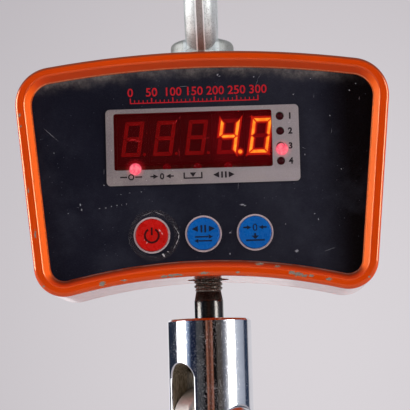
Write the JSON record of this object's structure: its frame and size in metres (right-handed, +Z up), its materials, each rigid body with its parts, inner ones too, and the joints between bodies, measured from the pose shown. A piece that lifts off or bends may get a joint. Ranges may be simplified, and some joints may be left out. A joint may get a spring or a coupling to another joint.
{
  "type": "electronic hanging scale",
  "caption": "Electronic hanging scale: orange die-cast case with lit display and keys, forged lifting eye above, chromed swivel clevis and latched hook below.",
  "frame": {"origin": "centre of the lifting eye's ring", "axes": "+Z up along the load line, +X to the right of the display's reader and along the eye's hole, front panel faces -Y"},
  "size_m": [0.149, 0.0541, 0.2987],
  "materials": {
    "housing": "glossy orange enamel on a die casting, chipped along the lower rim",
    "rear_cover": "glossy orange enamel on a die casting",
    "cover_gasket": "black sheet rubber",
    "cover_screws": "zinc-plated pan-head screws",
    "front_film": "dark navy film, lightly scratched and dusty",
    "display_window": "deep red tinted acrylic",
    "display_bezel": "grey silver foil, worn",
    "status_lamps": "clear red lamp, one lit",
    "unit_lamps": "clear red lamps, one lit",
    "button_rings": "pale grey ring",
    "power_button": "dark red film key",
    "hold_button": "blue film key",
    "zero_button": "blue film key",
    "power_plunger": "black plunger",
    "hold_plunger": "black plunger",
    "zero_plunger": "black plunger",
    "key_switches": "black switch bodies",
    "main_board": "green circuit board",
    "board_screws": "zinc-plated screws",
    "load_cell": "milled aluminium",
    "eye_roll_pin": "black spring steel",
    "bolt_roll_pin": "black spring steel",
    "battery_cells": "sleeved lithium cells",
    "battery_tray": "black moulded tray",
    "battery_contacts": "nickel-plated spring strip",
    "tray_screws": "zinc-plated screws",
    "charging_socket": "black moulded socket",
    "socket_nut": "plated hexagon nut",
    "lifting_eye": "zinc-plated forging with a trimmed flash line",
    "eye_seal": "black rubber washer",
    "swivel_bolt": "black-oxide high-tensile steel",
    "clevis": "polished chrome on turned steel",
    "swivel_bush": "bronze bearing bush",
    "clevis_pin": "polished pin",
    "pin_nut": "plated thin nut",
    "hook": "zinc-plated forging",
    "latch": "pressed zinc-plated sheet",
    "latch_pin": "riveted steel pin",
    "latch_spring": "spring wire",
    "led_digit_1": "dark seven-segment module; lit segments glow orange-red",
    "led_digit_2": "dark seven-segment module; lit segments glow orange-red",
    "led_digit_3": "dark seven-segment module; lit segments glow orange-red",
    "led_digit_4": "dark seven-segment module; lit segments glow orange-red",
    "led_digit_5": "dark seven-segment module; lit segments glow orange-red"
  },
  "bodies": {
    "case": {"housing": "housing", "rear_cover": "rear_cover", "cover_gasket": "cover_gasket", "cover_screws": "cover_screws", "front_film": "front_film", "display_window": "display_window", "display_bezel": "display_bezel", "status_lamps": "status_lamps", "unit_lamps": "unit_lamps", "button_rings": "button_rings", "key_switches": "key_switches", "main_board": "main_board", "board_screws": "board_screws", "load_cell": "load_cell", "eye_roll_pin": "eye_roll_pin", "bolt_roll_pin": "bolt_roll_pin", "battery_cells": "battery_cells", "battery_tray": "battery_tray", "battery_contacts": "battery_contacts", "tray_screws": "tray_screws", "charging_socket": "charging_socket", "socket_nut": "socket_nut", "lifting_eye": "lifting_eye", "eye_seal": "eye_seal", "swivel_bolt": "swivel_bolt", "led_digit_1": "led_digit_1", "led_digit_2": "led_digit_2", "led_digit_3": "led_digit_3", "led_digit_4": "led_digit_4", "led_digit_5": "led_digit_5"},
    "clevis": {"clevis": "clevis", "swivel_bush": "swivel_bush", "clevis_pin": "clevis_pin", "pin_nut": "pin_nut"},
    "hook": {"hook": "hook", "latch_pin": "latch_pin", "latch_spring": "latch_spring"},
    "latch": {"latch": "latch"},
    "power_button": {"power_button": "power_button", "power_plunger": "power_plunger"},
    "hold_button": {"hold_button": "hold_button", "hold_plunger": "hold_plunger"},
    "zero_button": {"zero_button": "zero_button", "zero_plunger": "zero_plunger"}
  },
  "joints": [
    {"name": "hook_swivel", "type": "hinge", "parent": "case", "child": "clevis", "pos_m": [0, 0, -0.1415], "axis": [0, 0, 1], "continuous": true},
    {"name": "hook_swing", "type": "hinge", "parent": "clevis", "child": "hook", "pos_m": [0, 0, -0.1769], "axis": [0.7071, -0.7071, 0], "range_deg": [-90, 90]},
    {"name": "latch_open", "type": "hinge", "parent": "hook", "child": "latch", "pos_m": [0.0053, 0.0053, -0.2137], "axis": [0.7071, -0.7071, 0], "range_deg": [0, 55], "stiffness_Nm_per_rad": 0.02, "springref_deg": -28.65, "deforming": ["latch_spring"]},
    {"name": "power_press", "type": "slide", "parent": "case", "child": "power_button", "axis": [0, 1, 0], "range_m": [0, 0.0004], "stiffness_N_per_m": 2500, "springref_m": -0.0002},
    {"name": "hold_press", "type": "slide", "parent": "case", "child": "hold_button", "axis": [0, 1, 0], "range_m": [0, 0.0004], "stiffness_N_per_m": 2500, "springref_m": -0.0002},
    {"name": "zero_press", "type": "slide", "parent": "case", "child": "zero_button", "axis": [0, 1, 0], "range_m": [0, 0.0004], "stiffness_N_per_m": 2500, "springref_m": -0.0002}
  ]
}
